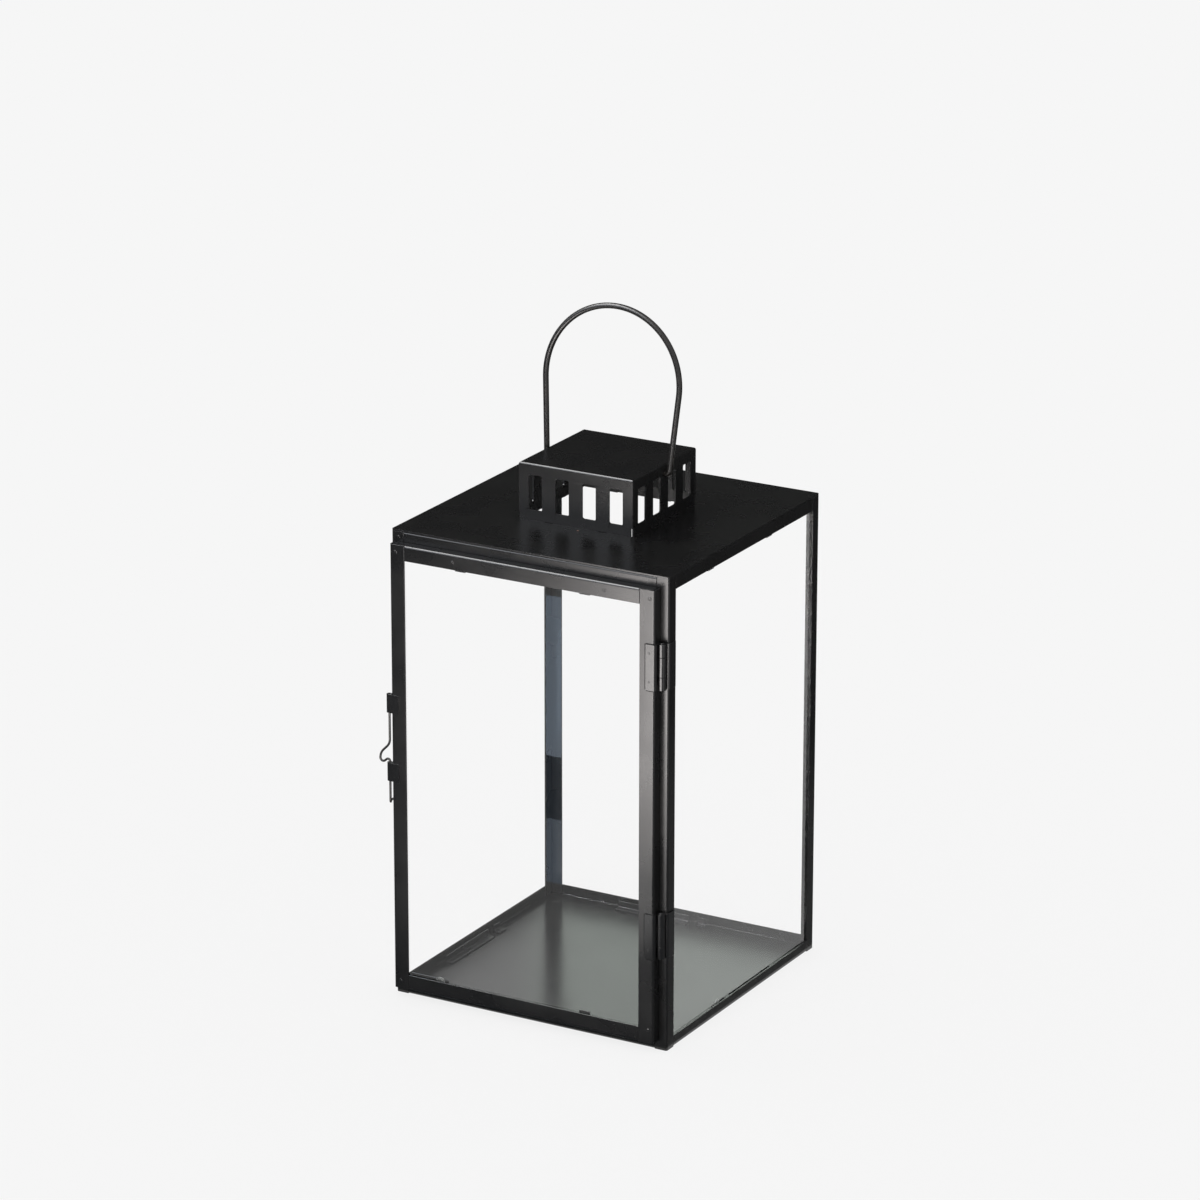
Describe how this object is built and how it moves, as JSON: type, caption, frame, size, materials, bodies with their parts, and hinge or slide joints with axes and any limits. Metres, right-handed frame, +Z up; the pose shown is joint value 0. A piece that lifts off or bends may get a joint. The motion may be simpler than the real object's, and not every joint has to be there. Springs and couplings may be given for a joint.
{
  "type": "candle lantern",
  "caption": "Square black steel lantern with glass sides, a hinged glass door with a wire latch, a slotted vent box on the roof and a folding wire bail.",
  "frame": {"origin": "centre of the tray's underside, where the lantern stands on a table", "axes": "+Z up; the door faces -Y; the door's hinges are at +X and its latch at -X"},
  "size_m": [0.1663, 0.1668, 0.3593],
  "materials": {
    "black_sheet": "satin black powder coat on folded sheet steel",
    "hinge_black": "satin black paint on small steel hinges and straps",
    "black_wire": "black coated steel wire",
    "clear_glass": "clear float glass with ground edges"
  },
  "bodies": {
    "cage": {"tray": "black_sheet", "post_front_left": "black_sheet", "post_front_right": "black_sheet", "post_back_left": "black_sheet", "post_back_right": "black_sheet", "top_rail_front": "black_sheet", "top_rail_right": "black_sheet", "top_rail_back": "black_sheet", "top_rail_left": "black_sheet", "roof_plate": "black_sheet", "vent_box": "black_sheet", "glass_right": "clear_glass", "glass_back": "clear_glass", "glass_left": "clear_glass", "glass_clips_right": "black_sheet", "glass_clips_back": "black_sheet", "glass_clips_left": "black_sheet", "hinge_lower_frame_leaf": "hinge_black", "hinge_lower_pin": "hinge_black", "hinge_upper_frame_leaf": "hinge_black", "hinge_upper_pin": "hinge_black"},
    "door": {"door_stile_latch": "black_sheet", "door_stile_hinge": "black_sheet", "door_rail_bottom": "black_sheet", "door_rail_top": "black_sheet", "door_glass": "clear_glass", "door_glass_clips": "black_sheet", "hinge_lower_door_leaf": "hinge_black", "hinge_upper_door_leaf": "hinge_black", "latch_strap_lower": "hinge_black", "latch_strap_upper": "hinge_black"},
    "latch": {"latch_wire": "black_wire"},
    "bail": {"bail_handle": "black_wire"}
  },
  "joints": [
    {"name": "door_swing", "type": "hinge", "parent": "cage", "child": "door", "pos_m": [0.0776, -0.0824, 0.1], "axis": [0, 0, 1], "range_deg": [0, 120]},
    {"name": "latch_turn", "type": "hinge", "parent": "door", "child": "latch", "pos_m": [-0.0791, -0.08535, 0.14], "axis": [0, 0, 1], "range_deg": [0, 90]},
    {"name": "bail_swing", "type": "hinge", "parent": "cage", "child": "bail", "pos_m": [0, 0, 0.2768], "axis": [1, 0, 0], "range_deg": [-100, 112]}
  ]
}
